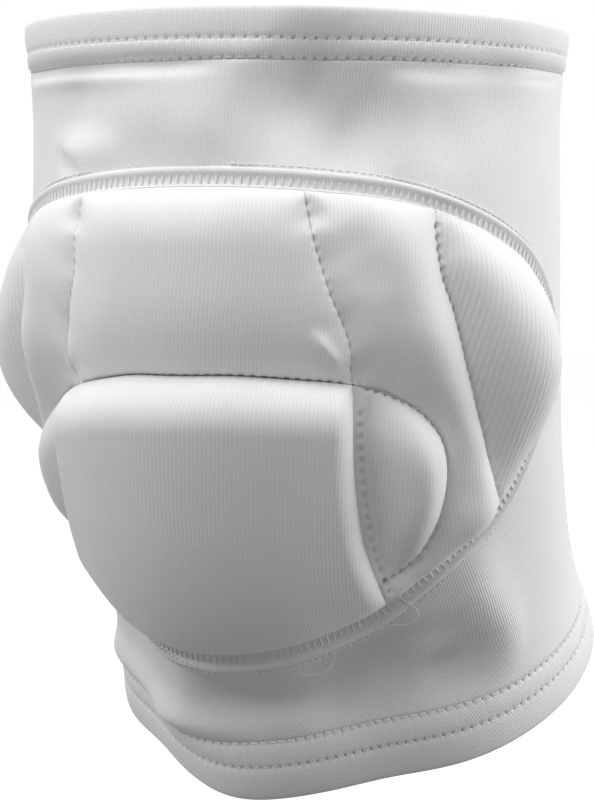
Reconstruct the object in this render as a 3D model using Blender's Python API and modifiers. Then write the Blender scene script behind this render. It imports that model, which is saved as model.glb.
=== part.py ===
"""Volleyball knee pad, as worn on a slightly bent knee.

A knit sleeve goes round the leg, with a folded hem at each end. On its front lies a quilted panel of eight foam
pads: an upper pad over the thigh, a thick pad over the kneecap, a D-shaped lobe on each side of it, a long strip and
an outer pad on each side. A flat cover-stitched band joins the panel to the sleeve.

Metres, +Z up, the front faces -Y. The origin is the middle of the knee, on the centre line of the hollow.
A place over the sleeve is given by a height, as a share of the sleeve's height from the calf rim, and by an angle
in degrees from the front line, positive towards +X.
"""
import math
from collections import namedtuple

import bmesh
import bpy
import numpy as np
from mathutils import Vector

# Sleeve, over its outer face
SLEEVE_HEIGHT = 0.1662
CALF_WIDTH = 0.1281
CALF_DEPTH = 0.1197
KNEE_WIDTH = 0.1321
KNEE_DEPTH = 0.1311
THIGH_WIDTH = 0.1379
THIGH_DEPTH = 0.1389
SLEEVE_WALL = 0.0016

# Form of the shin under the sleeve
SHIN_RIDGE = 0.0036
SHIN_RIDGE_SPREAD = 15.0
SHIN_HOLLOW = 0.0036
SHIN_HOLLOW_ANGLE = 38.0
SHIN_HOLLOW_SPREAD = 17.0

# Folded hems
TOP_HEM_HEIGHT = 0.0125
BOTTOM_HEM_HEIGHT = 0.0125
HEM_THICKNESS = 0.0028
HEM_PROUD = 0.0004
HEM_ROUNDING = 0.0009

# Quilted panel
SEAM_WIDTH = 0.0042
SEAM_THICKNESS = 0.0009
PAD_EDGE_THICKNESS = 0.0014
UPPER_PAD_THICKNESS = 0.0095
STRIP_PAD_THICKNESS = 0.0115
SIDE_PAD_THICKNESS = 0.0130
KNEE_PAD_THICKNESS = 0.0170
KNEE_LOBE_THICKNESS = 0.0105

# Clearances between pieces
SEAT_GAP = 0.0003
QUILT_GAP = 0.0005

# Faces round and along the pieces
SLEEVE_SEGMENTS = 64
SLEEVE_ROWS = 10
HEM_ROWS = 2
SEAM_SEGMENTS = 88
LINE_STEPS = 160
SETTLING_STEPS = 8
CROWDING_ACROSS = 0.55
CROWDING_UP = 0.35

# Rings of the sleeve: height share, tilt of the ring (degrees, front edge up), set-back as a share of the height,
# width, depth, share of the depth in front, shares of the shin's ridge and hollows, turn of the front line (degrees)
Section = namedtuple("Section", "height tilt set_back width depth front ridge hollow turn")
SECTIONS = (
    Section(0.00, -28.3, 0.196, 1.000 * CALF_WIDTH, 1.000 * CALF_DEPTH, 0.486, 0.96, 1.07, -8.0),
    Section(0.12, -22.5, 0.143, 0.961 * CALF_WIDTH, 1.024 * CALF_DEPTH, 0.495, 0.72, 1.25, -7.8),
    Section(0.30, -15.4, 0.064, 0.951 * KNEE_WIDTH, 0.966 * KNEE_DEPTH, 0.501, 0.44, 1.25, -6.8),
    Section(0.50, -9.3, -0.003, 1.000 * KNEE_WIDTH, 1.000 * KNEE_DEPTH, 0.506, 0.25, 0.95, -2.2),
    Section(0.70, -4.5, -0.031, 1.021 * KNEE_WIDTH, 1.025 * KNEE_DEPTH, 0.508, 0.10, 0.50, 2.4),
    Section(0.88, -0.8, -0.032, 0.976 * THIGH_WIDTH, 0.980 * THIGH_DEPTH, 0.505, 0.00, 0.15, 3.0),
    Section(1.00, 1.7, -0.028, 1.000 * THIGH_WIDTH, 1.000 * THIGH_DEPTH, 0.513, 0.00, 0.00, 3.0),
)

# Seam lines of the right half of the panel, from below: height share, angle from the front line (degrees)
Spot = namedtuple("Spot", "height angle")
PANEL_EDGE = (
    Spot(0.165, 0.0), Spot(0.168, 16.0), Spot(0.178, 30.0), Spot(0.200, 44.0), Spot(0.232, 54.0),
    Spot(0.262, 63.0), Spot(0.288, 72.0), Spot(0.318, 79.0), Spot(0.355, 85.0), Spot(0.400, 91.0),
    Spot(0.460, 96.5), Spot(0.520, 98.0), Spot(0.570, 95.0), Spot(0.620, 89.0), Spot(0.665, 81.5),
    Spot(0.710, 70.0), Spot(0.745, 58.0), Spot(0.772, 45.0), Spot(0.790, 27.0), Spot(0.800, 0.0),
)
KNEE_PAD_SIDE = (
    Spot(0.200, 45.5), Spot(0.255, 44.0), Spot(0.310, 43.0), Spot(0.360, 42.0), Spot(0.440, 40.0),
    Spot(0.520, 36.0),
)
KNEE_LOBE_SIDE = (
    Spot(0.252, 45.0), Spot(0.290, 53.5), Spot(0.335, 57.5), Spot(0.385, 59.0), Spot(0.430, 57.5),
    Spot(0.468, 53.0), Spot(0.498, 45.0), Spot(0.520, 36.0),
)
UPPER_PAD_SIDE = (
    Spot(0.520, 36.0), Spot(0.575, 34.0), Spot(0.640, 29.0), Spot(0.700, 25.5), Spot(0.790, 22.5),
)
STRIP_SIDE = (
    Spot(0.300, 76.0), Spot(0.345, 73.0), Spot(0.385, 71.0), Spot(0.463, 65.5), Spot(0.520, 62.0),
    Spot(0.600, 58.0), Spot(0.655, 55.5), Spot(0.700, 53.5), Spot(0.760, 52.5),
)
KNEE_CREASE = (
    Spot(0.543, 0.0), Spot(0.542, 12.0), Spot(0.535, 22.0), Spot(0.527, 30.0), Spot(0.520, 36.0),
)

# A pad: name, thickness, the lengths over which its inner side, outer side, top and foot round down, how slowly its
# outer side rises (0.5 as a quarter circle, 1 as a parabola), the share of its thickness that it keeps at its foot,
# faces across and up
Pad = namedtuple("Pad", "name thickness inner_round outer_round top_round foot_round outer_rise foot_share columns rows")
UPPER_PAD = Pad("pad_upper_center", UPPER_PAD_THICKNESS, 0.020, 0.020, 0.012, 0.010, 0.5, 1.00, 16, 10)
KNEE_PAD = Pad("pad_knee_center", KNEE_PAD_THICKNESS, 0.014, 0.014, 0.010, 0.030, 0.5, 0.70, 16, 12)
STRIP_PAD = Pad("pad_strip", STRIP_PAD_THICKNESS, 0.014, 0.006, 0.028, 0.010, 0.5, 1.00, 6, 20)
SIDE_PAD = Pad("pad_side", SIDE_PAD_THICKNESS, 0.010, 0.034, 0.036, 0.008, 1.0, 1.00, 8, 14)
KNEE_LOBE = Pad("pad_knee", KNEE_LOBE_THICKNESS, 0.010, 0.007, 0.008, 0.008, 0.5, 1.00, 8, 12)
LEAST_PAD_WIDTH = 0.0025

# Finishes: colour, roughness
Finish = namedtuple("Finish", "name colour roughness")
SLEEVE_KNIT = Finish("white_sleeve_knit", (0.78, 0.78, 0.79, 1.0), 0.85)
HEM_KNIT = Finish("white_hem_knit", (0.80, 0.80, 0.81, 1.0), 0.85)
COVER_KNIT = Finish("white_cover_knit", (0.74, 0.74, 0.75, 1.0), 0.75)
SEAM_THREAD = Finish("white_seam_thread", (0.82, 0.82, 0.83, 1.0), 0.65)


def smooth(places, values, wanted):
    """Values of a smooth curve through the rows of a table, whose slopes come from the neighbouring rows."""
    slopes = np.gradient(values, places, axis=0)
    wanted = np.asarray(wanted, dtype=float)
    k = np.clip(np.searchsorted(places, wanted) - 1, 0, len(places) - 2)
    span = places[k + 1] - places[k]
    x = (wanted - places[k]) / span
    if values.ndim > 1:
        x = x[..., None]
        span = span[..., None]
    start = values[k] * (1 + 2 * x) * (1 - x) ** 2 + slopes[k] * span * x * (1 - x) ** 2
    end = values[k + 1] * x * x * (3 - 2 * x) - slopes[k + 1] * span * x * x * (1 - x)
    return start + end


def swell(angle, middle, spread):
    """Bell curve of height 1 round an angle."""
    return math.exp(-((angle - middle) / spread) ** 2)


SECTION_VALUES = np.array(SECTIONS)


def sleeve_point(height, angle, outward=0.0):
    """Point at a height share and an angle, moved outwards from the sleeve's outer face."""
    section = Section(*smooth(SECTION_VALUES[:, 0], SECTION_VALUES, height))
    turned = math.radians(angle + section.turn)
    tilt = math.radians(section.tilt)
    front_share = section.front if math.cos(turned) > 0 else 1 - section.front
    reach = 1 / math.hypot(math.sin(turned) / (section.width / 2), math.cos(turned) / (section.depth * front_share))
    reach += SHIN_RIDGE * section.ridge * swell(angle, 0, SHIN_RIDGE_SPREAD)
    reach -= SHIN_HOLLOW * section.hollow * swell(abs(angle), SHIN_HOLLOW_ANGLE, SHIN_HOLLOW_SPREAD)
    reach += outward
    forward = reach * math.cos(turned)
    return Vector((
        reach * math.sin(turned),
        section.set_back * SLEEVE_HEIGHT - forward * math.cos(tilt),
        (section.height - 0.5) * SLEEVE_HEIGHT + forward * math.sin(tilt),
    ))


class SeamLine:
    """A smooth line over the sleeve through a few spots, moved sideways over the cloth by a distance."""

    def __init__(self, spots, shift=0.0):
        flat = np.array([self.lay_flat(spot) for spot in spots])
        lengths = np.concatenate([[0.0], np.cumsum(np.linalg.norm(np.diff(flat, axis=0), axis=1))])
        line = smooth(lengths, flat, np.linspace(0.0, lengths[-1], LINE_STEPS))
        along = np.gradient(line, axis=0)
        along /= np.linalg.norm(along, axis=1)[:, None]
        line = line + shift * np.stack([along[:, 1], -along[:, 0]], axis=1)
        self.angles = np.degrees(line[:, 0] / (KNEE_WIDTH / 2))
        self.heights = line[:, 1] / SLEEVE_HEIGHT

    @staticmethod
    def lay_flat(spot):
        """Distance round the sleeve and height of a spot, in metres."""
        return math.radians(spot.angle) * KNEE_WIDTH / 2, spot.height * SLEEVE_HEIGHT

    def angle_at(self, height, below=None, above=None):
        """Angle of the line at a height, and past an end the given value, or that of the end."""
        return float(np.interp(height, self.heights, self.angles, left=below, right=above))

    def height_at(self, angle):
        """Height of a line that runs across, at an angle on either side of the front."""
        order = np.argsort(self.angles)
        return float(np.interp(abs(angle), self.angles[order], self.heights[order]))


class PanelOutline:
    """The panel's closed outline, symmetric about the front line, moved inwards by a distance."""

    def __init__(self, inset=0.0):
        mirrored = [Spot(spot.height, -spot.angle) for spot in PANEL_EDGE]
        before = mirrored[2:0:-1]
        after = mirrored[-2:-4:-1]
        flat = np.array([SeamLine.lay_flat(spot) for spot in (*before, *PANEL_EDGE, *after)])
        lengths = np.concatenate([[0.0], np.cumsum(np.linalg.norm(np.diff(flat, axis=0), axis=1))])
        first = lengths[len(before)]
        last = lengths[-1 - len(after)]
        half = smooth(lengths, flat, np.linspace(first, last, LINE_STEPS))
        along = np.gradient(half, axis=0)
        along[[0, -1], 1] = 0.0
        along /= np.linalg.norm(along, axis=1)[:, None]
        half = half + inset * np.stack([-along[:, 1], along[:, 0]], axis=1)
        self.angles = np.degrees(half[:, 0] / (KNEE_WIDTH / 2))
        self.heights = half[:, 1] / SLEEVE_HEIGHT
        self.widest = int(np.argmax(self.angles))

    def spot(self, share):
        """Spot at a share of the way round, from the middle of the foot up the right side."""
        side = 1.0 if share <= 0.5 else -1.0
        place = 2 * min(share, 1 - share) * (LINE_STEPS - 1)
        steps = np.arange(LINE_STEPS)
        return Spot(np.interp(place, steps, self.heights), side * np.interp(place, steps, self.angles))

    def angle_at(self, height):
        """Angle of the right side at a height."""
        return float(np.interp(height, self.heights, self.angles))

    def lower_angle_at(self, height):
        """Angle of the right side at a height, held from its widest place upwards."""
        return self.angle_at(min(height, self.heights[self.widest]))

    def foot_at(self, angle):
        """Height of the lower edge at an angle."""
        lower = slice(0, self.widest + 1)
        return float(np.interp(abs(angle), self.angles[lower], self.heights[lower]))

    def top_at(self, angle):
        """Height of the upper edge at an angle."""
        upper = slice(self.widest, None)
        return float(np.interp(abs(angle), self.angles[upper][::-1], self.heights[upper][::-1]))


def new_collection(name):
    """A collection linked to the scene."""
    collection = bpy.data.collections.new(name)
    bpy.context.scene.collection.children.link(collection)
    return collection


def new_material(finish):
    """A Principled material with the colour and roughness of a finish."""
    material = bpy.data.materials.new(finish.name)
    material.use_nodes = True
    shader = material.node_tree.nodes["Principled BSDF"]
    shader.inputs["Base Color"].default_value = finish.colour
    shader.inputs["Roughness"].default_value = finish.roughness
    shader.inputs["Metallic"].default_value = 0.0
    return material


def new_object(name, bm, material, collection):
    """An object with the shape of a bmesh, shaded smooth."""
    mesh = bpy.data.meshes.new(name)
    bm.to_mesh(mesh)
    bm.free()
    mesh.materials.append(material)
    mesh.shade_smooth()
    part = bpy.data.objects.new(name, mesh)
    collection.objects.link(part)
    return part


def new_tube(segments, rows, place):
    """An open tube whose points go where place puts their share round, from the front to +X, and their share up."""
    bm = bmesh.new()
    bmesh.ops.create_cone(bm, cap_ends=False, segments=segments, radius1=1.0, radius2=1.0, depth=1.0)
    upright = [edge for edge in bm.edges if abs(edge.verts[0].co.z - edge.verts[1].co.z) > 0.5]
    bmesh.ops.subdivide_edges(bm, edges=upright, cuts=rows - 1)
    for vert in bm.verts:
        share_round = math.atan2(vert.co.x, -vert.co.y) / math.tau
        vert.co = place(share_round % 1.0, vert.co.z + 0.5)
    return bm


def add_wall(part, thickness, offset):
    """Gives an open surface its wall, inwards for an offset of -1 and outwards for 1."""
    wall = part.modifiers.new("wall", "SOLIDIFY")
    wall.thickness = thickness
    wall.offset = offset
    wall.use_even_offset = True


def add_band(name, low, high, outward, thickness, rows, material, collection):
    """A band of cloth round the leg between two height shares."""
    def place(share_round, share_up):
        angle = 360.0 * share_round
        if angle > 180.0:
            angle -= 360.0
        return sleeve_point(low + (high - low) * share_up, angle, outward)

    band = new_object(name, new_tube(SLEEVE_SEGMENTS, rows, place), material, collection)
    add_wall(band, thickness, -1.0)
    return band


def add_hem(name, low, high, material, collection):
    """A folded hem, with rounded edges."""
    hem = add_band(name, low, high, HEM_PROUD, HEM_THICKNESS, HEM_ROWS, material, collection)
    rounding = hem.modifiers.new("rounding", "BEVEL")
    rounding.width = HEM_ROUNDING
    rounding.segments = 1
    rounding.limit_method = "ANGLE"
    rounding.angle_limit = math.radians(60.0)
    return hem


def add_cover_seam(material, collection):
    """The raised band along the panel's outline."""
    outer = PanelOutline()
    inner = PanelOutline(SEAM_WIDTH)

    def place(share_round, share_up):
        spot = outer.spot(share_round) if share_up < 0.5 else inner.spot(share_round)
        return sleeve_point(spot.height, spot.angle, SEAT_GAP)

    seam = new_object("cover_seam", new_tube(SEAM_SEGMENTS, 1, place), material, collection)
    add_wall(seam, SEAM_THICKNESS, 1.0)
    return seam


def rounded(distance, length, rise=0.5):
    """Rises from 0 at an edge to 1 over a length: as a quarter circle does, or more slowly for a larger rise."""
    return (1 - (1 - min(max(distance, 0.0) / length, 1.0)) ** 2) ** rise


def crowd_to_edges(share, crowding):
    """Draws evenly spaced shares nearer to 0 and 1."""
    return share - crowding * math.sin(math.tau * share) / math.tau


def even_rows(left, right, low, high):
    """Height shares of rows that are evenly spaced along the longer side line of a cell."""
    heights = np.linspace(low, high, LINE_STEPS)
    reached = []
    for side in (left, right):
        round_leg = np.radians([side(height) for height in heights]) * KNEE_WIDTH / 2
        steps = np.hypot(np.diff(round_leg), np.diff(heights) * SLEEVE_HEIGHT)
        reached.append(np.concatenate([[0.0], np.cumsum(steps)]))
    longer = max(reached, key=lambda lengths: lengths[-1])
    return lambda up: float(np.interp(up, longer / longer[-1], (heights - low) / (high - low)))


def add_pad(pad, name, side, cell, material, collection):
    """A pad over a cell of the panel: side 1 or -1 for the right or left half, 0 for one across the front.

    The cell is the pad's left and right lines, as functions of the height, and its lower and upper lines, as
    functions of the angle.
    """
    left, right, foot, top = cell
    middle = 0.5 * (left(0.5) + right(0.5))
    row_height = even_rows(left, right, foot(middle), top(middle))

    def spot_of(across, up):
        height = 0.5 * (foot(0.0) + top(0.0))
        for _ in range(SETTLING_STEPS):
            angle = left(height) + (right(height) - left(height)) * across
            height = foot(angle) + (top(angle) - foot(angle)) * up
        return height, angle

    def thickness_of(across, up, height, angle):
        width = math.radians(right(height) - left(height)) * KNEE_WIDTH / 2
        length = (top(angle) - foot(angle)) * SLEEVE_HEIGHT
        inner = 1 - across if side == 0 and across > 0.5 else across
        sides = rounded(width * inner, pad.inner_round)
        sides *= rounded(width * (1 - across), pad.outer_round, pad.outer_rise) if side else 1.0
        ends = rounded(length * up, pad.foot_round) * rounded(length * (1 - up), pad.top_round)
        full = pad.thickness * (pad.foot_share + (1 - pad.foot_share) * up)
        return PAD_EDGE_THICKNESS + (full - PAD_EDGE_THICKNESS) * sides * ends

    bm = bmesh.new()
    bmesh.ops.create_grid(bm, x_segments=pad.columns, y_segments=pad.rows, size=0.5)
    back = set(bm.verts)
    bmesh.ops.extrude_face_region(bm, geom=list(bm.faces), use_keep_orig=True)
    turn = -1.0 if side < 0 else 1.0
    for vert in bm.verts:
        across = crowd_to_edges(vert.co.x + 0.5, CROWDING_ACROSS)
        up = row_height(crowd_to_edges(vert.co.y + 0.5, CROWDING_UP))
        height, angle = spot_of(across, up)
        thickness = 0.0 if vert in back else thickness_of(across, up, height, angle)
        vert.co = sleeve_point(height, turn * angle, SEAT_GAP + thickness)
    if side < 0:
        bmesh.ops.reverse_faces(bm, faces=list(bm.faces))
    return new_object(name, bm, material, collection)


def reach_of(left, right):
    """The lowest and highest height shares where a cell is still wide enough for its pad."""
    heights = np.linspace(0.0, 1.0, 1001)
    least = math.degrees(LEAST_PAD_WIDTH / (KNEE_WIDTH / 2))
    wide = [height for height in heights if right(height) - left(height) > least]
    return wide[0], wide[-1]


def add_pads(material, collection):
    """The eight pads, set between the seam lines with half a quilting gap on each side of a line."""
    half_gap = QUILT_GAP / 2
    outline = PanelOutline(SEAM_WIDTH + SEAT_GAP)
    crease_below = SeamLine(KNEE_CREASE, half_gap)
    crease_above = SeamLine(KNEE_CREASE, -half_gap)
    knee_inner = SeamLine(KNEE_PAD_SIDE, -half_gap)
    knee_outer = SeamLine(KNEE_PAD_SIDE, half_gap)
    lobe_inner = SeamLine(KNEE_LOBE_SIDE, -half_gap)
    lobe_outer = SeamLine(KNEE_LOBE_SIDE, half_gap)
    upper_inner = SeamLine(UPPER_PAD_SIDE, -half_gap)
    upper_outer = SeamLine(UPPER_PAD_SIDE, half_gap)
    strip_inner = SeamLine(STRIP_SIDE, -half_gap)
    strip_outer = SeamLine(STRIP_SIDE, half_gap)

    def strip_left(height):
        return max(
            knee_outer.angle_at(height, above=0.0),
            lobe_outer.angle_at(height, below=0.0, above=0.0),
            upper_outer.angle_at(height, below=0.0),
        )

    def strip_right(height):
        return min(strip_inner.angle_at(height), outline.lower_angle_at(height))

    centre_cells = (
        (UPPER_PAD, upper_inner.angle_at, crease_above.height_at, outline.top_at),
        (KNEE_PAD, knee_inner.angle_at, outline.foot_at, crease_below.height_at),
    )
    for pad, edge, foot, top in centre_cells:
        cell = (lambda height, edge=edge: -edge(height), edge, foot, top)
        add_pad(pad, pad.name, 0, cell, material, collection)

    lobe_low, lobe_high = reach_of(knee_outer.angle_at, lobe_inner.angle_at)
    strip_low, _ = reach_of(strip_left, strip_right)
    side_low, side_high = reach_of(strip_outer.angle_at, outline.angle_at)
    side_cells = (
        (STRIP_PAD, strip_left, strip_right, lambda angle: strip_low, outline.top_at),
        (SIDE_PAD, strip_outer.angle_at, outline.angle_at, lambda angle: side_low, lambda angle: side_high),
        (KNEE_LOBE, knee_outer.angle_at, lobe_inner.angle_at, lambda angle: lobe_low, lambda angle: lobe_high),
    )
    for pad, *cell in side_cells:
        for side, word in ((-1, "left"), (1, "right")):
            add_pad(pad, f"{pad.name}_{word}", side, cell, material, collection)


def main():
    """Clears the scene and models the knee pad."""
    for item in list(bpy.data.objects):
        bpy.data.objects.remove(item)
    knee_pad = new_collection("volleyball_knee_pad")
    sleeve_low = (BOTTOM_HEM_HEIGHT + SEAT_GAP) / SLEEVE_HEIGHT
    sleeve_high = 1 - (TOP_HEM_HEIGHT + SEAT_GAP) / SLEEVE_HEIGHT
    add_band(
        "sleeve", sleeve_low, sleeve_high, 0.0, SLEEVE_WALL, SLEEVE_ROWS, new_material(SLEEVE_KNIT), knee_pad,
    )
    hem_knit = new_material(HEM_KNIT)
    add_hem("bottom_hem", 0.0, BOTTOM_HEM_HEIGHT / SLEEVE_HEIGHT, hem_knit, knee_pad)
    add_hem("top_hem", 1 - TOP_HEM_HEIGHT / SLEEVE_HEIGHT, 1.0, hem_knit, knee_pad)
    add_cover_seam(new_material(SEAM_THREAD), knee_pad)
    add_pads(new_material(COVER_KNIT), knee_pad)


main()
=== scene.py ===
"""Looks of a volleyball knee pad, as worn on a slightly bent knee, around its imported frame.

Metres, +Z up, the front faces -Y. A place over the sleeve is given by a height, as a share of the
sleeve's height from the calf rim, and by an angle in degrees from the front line, positive towards +X.
Laid flat, the same place is a distance round the sleeve and a height, both in metres.
"""

import logging
import math
from collections.abc import Callable, Iterable
from dataclasses import dataclass, field, replace
from enum import Enum

import bpy
import numpy as np
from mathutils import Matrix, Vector


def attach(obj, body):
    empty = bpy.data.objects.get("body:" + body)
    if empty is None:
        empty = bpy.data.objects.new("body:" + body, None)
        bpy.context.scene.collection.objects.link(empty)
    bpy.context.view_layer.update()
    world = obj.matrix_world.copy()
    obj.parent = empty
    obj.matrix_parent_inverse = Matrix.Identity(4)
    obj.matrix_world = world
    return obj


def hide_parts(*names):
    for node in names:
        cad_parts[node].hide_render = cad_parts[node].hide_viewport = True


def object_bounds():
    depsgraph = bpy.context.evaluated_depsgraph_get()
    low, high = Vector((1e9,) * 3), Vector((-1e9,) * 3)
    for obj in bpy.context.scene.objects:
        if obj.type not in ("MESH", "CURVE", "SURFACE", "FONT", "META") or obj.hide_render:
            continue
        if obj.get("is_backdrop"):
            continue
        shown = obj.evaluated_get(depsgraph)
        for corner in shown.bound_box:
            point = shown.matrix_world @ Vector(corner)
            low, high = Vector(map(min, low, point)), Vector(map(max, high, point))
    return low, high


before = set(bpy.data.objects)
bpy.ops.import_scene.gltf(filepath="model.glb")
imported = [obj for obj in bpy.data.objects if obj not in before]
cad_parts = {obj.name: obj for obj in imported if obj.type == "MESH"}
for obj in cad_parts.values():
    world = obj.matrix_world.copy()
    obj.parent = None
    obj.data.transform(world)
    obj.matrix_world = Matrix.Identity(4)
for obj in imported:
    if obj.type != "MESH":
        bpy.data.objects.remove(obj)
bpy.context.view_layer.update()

LOG = logging.getLogger("knee_pad")
BODY = "root"
CLOTH_MAP = "cloth"
# Points of a seam line
LINE_STEPS = 160
# Rounds in which a pad's grid settles into its cell
SETTLING_STEPS = 10
# Most segments that a plain torus has
RING_LIMIT = 256
# Distance in metres under which two places are one
SAME_PLACE = 1e-6
# Distance in metres to either side of a place over which the surface's slope is read
SLOPE_STEP = 0.0004

WHITE = (1.0, 1.0, 1.0, 1.0)

Piece = bpy.types.Object
Material = bpy.types.Material
Socket = bpy.types.NodeSocket
Places = np.ndarray
Field = Callable[[Places], Places]
Triple = tuple[float, float, float]


class Slot(Enum):
    """The record's material slots."""

    SLEEVE = "sleeve_knit"
    HEM = "hem_knit"
    COVER = "cover_knit"
    THREAD = "seam_thread"


class Side(Enum):
    """Which half of the panel a pad lies on."""

    LEFT = -1
    CENTRE = 0
    RIGHT = 1


@dataclass(frozen=True)
class Spot:
    """A place over the sleeve: its height share and its angle in degrees."""

    height: float
    angle: float


def smooth(places: Places, values: Places, wanted: Places) -> Places:
    """Follows a smooth curve through the rows of a table, whose slopes come from the neighbouring rows.

    Args:
        places: Where each row stands, rising.
        values: The rows, one number or several each.
        wanted: Where the curve is read.

    Returns:
        The curve's values at the wanted places.
    """
    slopes = np.gradient(values, places, axis=0)
    wanted = np.asarray(wanted, dtype=float)
    row = np.clip(np.searchsorted(places, wanted) - 1, 0, len(places) - 2)
    span = places[row + 1] - places[row]
    share = (wanted - places[row]) / span
    if values.ndim > 1:
        share = share[..., None]
        span = span[..., None]
    start = values[row] * (1 + 2 * share) * (1 - share) ** 2 + slopes[row] * span * share * (1 - share) ** 2
    end = values[row + 1] * share**2 * (3 - 2 * share) - slopes[row + 1] * span * share**2 * (1 - share)
    return start + end


def distance_to(line: Places, places: Places) -> Places:
    """Measures how far flat places are from a line.

    Args:
        line: The line's points, laid flat.
        places: The places, laid flat.

    Returns:
        One distance for each place, in metres.
    """
    step = np.diff(line, axis=0)
    offset = places[:, None, :] - line[None, :-1, :]
    share = np.clip((offset * step).sum(-1) / (step * step).sum(-1), 0.0, 1.0)
    return np.linalg.norm(offset - share[..., None] * step, axis=-1).min(axis=1)


def bell(distance: Places, spread: float) -> Places:
    """Bell curve of height 1 at distance 0."""
    return np.exp(-((distance / spread) ** 2))


def ease(share: Places) -> Places:
    """Turns a share, held between 0 and 1, into one that starts and ends gently."""
    share = np.clip(share, 0.0, 1.0)
    return share**2 * (3 - 2 * share)


def rounded(distance: Places, length: float, rise: float) -> Places:
    """Rises from 0 at an edge to 1 over a length.

    Args:
        distance: How far each place is from the edge.
        length: Over which length it rises.
        rise: 0.5 for a quarter circle, 1 for a parabola.

    Returns:
        The share reached at each place.
    """
    return (1 - (1 - np.clip(distance / length, 0.0, 1.0)) ** 2) ** rise


def crowded(share: Places, crowding: float) -> Places:
    """Draws evenly spaced shares nearer to 0 and 1."""
    return share - crowding * np.sin(math.tau * share) / math.tau


def lengths_along(line: Places) -> Places:
    """How far along a line each of its points lies."""
    return np.concatenate([[0.0], np.cumsum(np.linalg.norm(np.diff(line, axis=0), axis=1))])


def unit(vectors: Places) -> Places:
    """Brings vectors to length 1."""
    return vectors / np.linalg.norm(vectors, axis=-1)[..., None]


def from_front(around: Places) -> Places:
    """Turns shares of the way round from +X into angles in degrees from the front."""
    return (np.degrees(around * math.tau) + 90.0 + 180.0) % 360.0 - 180.0


def spots(*places: tuple[float, float]) -> tuple[Spot, ...]:
    """Spots from their height shares and angles."""
    return tuple(Spot(*place) for place in places)


@dataclass(frozen=True)
class LegForm:
    """The form that the sleeve takes on the leg, with the sleeve's outer face as its surface."""

    height: float = 0.1662
    calf_width: float = 0.1281
    calf_depth: float = 0.1197
    knee_width: float = 0.1321
    knee_depth: float = 0.1311
    thigh_width: float = 0.1379
    thigh_depth: float = 0.1389
    shin_ridge: float = 0.0036
    shin_ridge_spread: float = 15.0
    shin_hollow: float = 0.0036
    shin_hollow_angle: float = 38.0
    shin_hollow_spread: float = 17.0

    @property
    def rings(self) -> Places:
        """Rings of the sleeve, from the calf rim up.

        The columns are the height share, tilt in degrees with the front edge up, set-back as a share of the
        height, width, depth, share of the depth in front, shares of the shin's ridge and hollows, and turn of
        the front line.
        """
        calf = np.array((self.calf_width, self.calf_depth))
        knee = np.array((self.knee_width, self.knee_depth))
        thigh = np.array((self.thigh_width, self.thigh_depth))
        return np.array((
            (0.00, -28.3, 0.196, *(calf * (1.000, 1.000)), 0.486, 0.96, 1.07, -8.0),
            (0.12, -22.5, 0.143, *(calf * (0.961, 1.024)), 0.495, 0.72, 1.25, -7.8),
            (0.30, -15.4, 0.064, *(knee * (0.951, 0.966)), 0.501, 0.44, 1.25, -6.8),
            (0.50, -9.3, -0.003, *(knee * (1.000, 1.000)), 0.506, 0.25, 0.95, -2.2),
            (0.70, -4.5, -0.031, *(knee * (1.021, 1.025)), 0.508, 0.10, 0.50, 2.4),
            (0.88, -0.8, -0.032, *(thigh * (0.976, 0.980)), 0.505, 0.00, 0.15, 3.0),
            (1.00, 1.7, -0.028, *(thigh * (1.000, 1.000)), 0.513, 0.00, 0.00, 3.0),
        ))

    @property
    def radius(self) -> float:
        """Radius of the round leg on which angles are laid flat."""
        return self.knee_width / 2

    def flat(self, heights: Places, angles: Places) -> Places:
        """Lays places flat: the distance round the leg and the height, in metres."""
        distances = np.radians(angles) * self.radius
        return np.stack(np.broadcast_arrays(distances, np.multiply(heights, self.height)), axis=-1)

    def flat_spots(self, places: Iterable[Spot]) -> Places:
        """Lays spots flat."""
        return np.array([self.flat(spot.height, spot.angle) for spot in places])

    def spread(self, flat: Places) -> tuple[Places, Places]:
        """Gives the height shares and angles of places that are laid flat."""
        return flat[..., 1] / self.height, np.degrees(flat[..., 0] / self.radius)

    def points(self, heights: Places, angles: Places, outward: Places | float = 0.0) -> Places:
        """Places points over the leg.

        Args:
            heights: Height shares.
            angles: Angles in degrees.
            outward: How far the points stand out from the sleeve's outer face.

        Returns:
            One point in space for each place.
        """
        heights, angles, outward = np.broadcast_arrays(heights, angles, outward)
        rings = self.rings
        ring = smooth(rings[:, 0], rings, heights)
        _, tilt, set_back, width, depth, front, ridge, hollow, turn = np.moveaxis(ring, -1, 0)
        turned = np.radians(angles + turn)
        tilt = np.radians(tilt)
        front_share = np.where(np.cos(turned) > 0, front, 1 - front)
        reach = 1 / np.hypot(np.sin(turned) / (width / 2), np.cos(turned) / (depth * front_share))
        reach = reach + self.shin_ridge * ridge * bell(angles, self.shin_ridge_spread)
        from_hollow = np.abs(angles) - self.shin_hollow_angle
        reach -= self.shin_hollow * hollow * bell(from_hollow, self.shin_hollow_spread)
        reach += outward
        forward = reach * np.cos(turned)
        return np.stack((
            reach * np.sin(turned),
            set_back * self.height - forward * np.cos(tilt),
            (heights - 0.5) * self.height + forward * np.sin(tilt),
        ), axis=-1)


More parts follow.
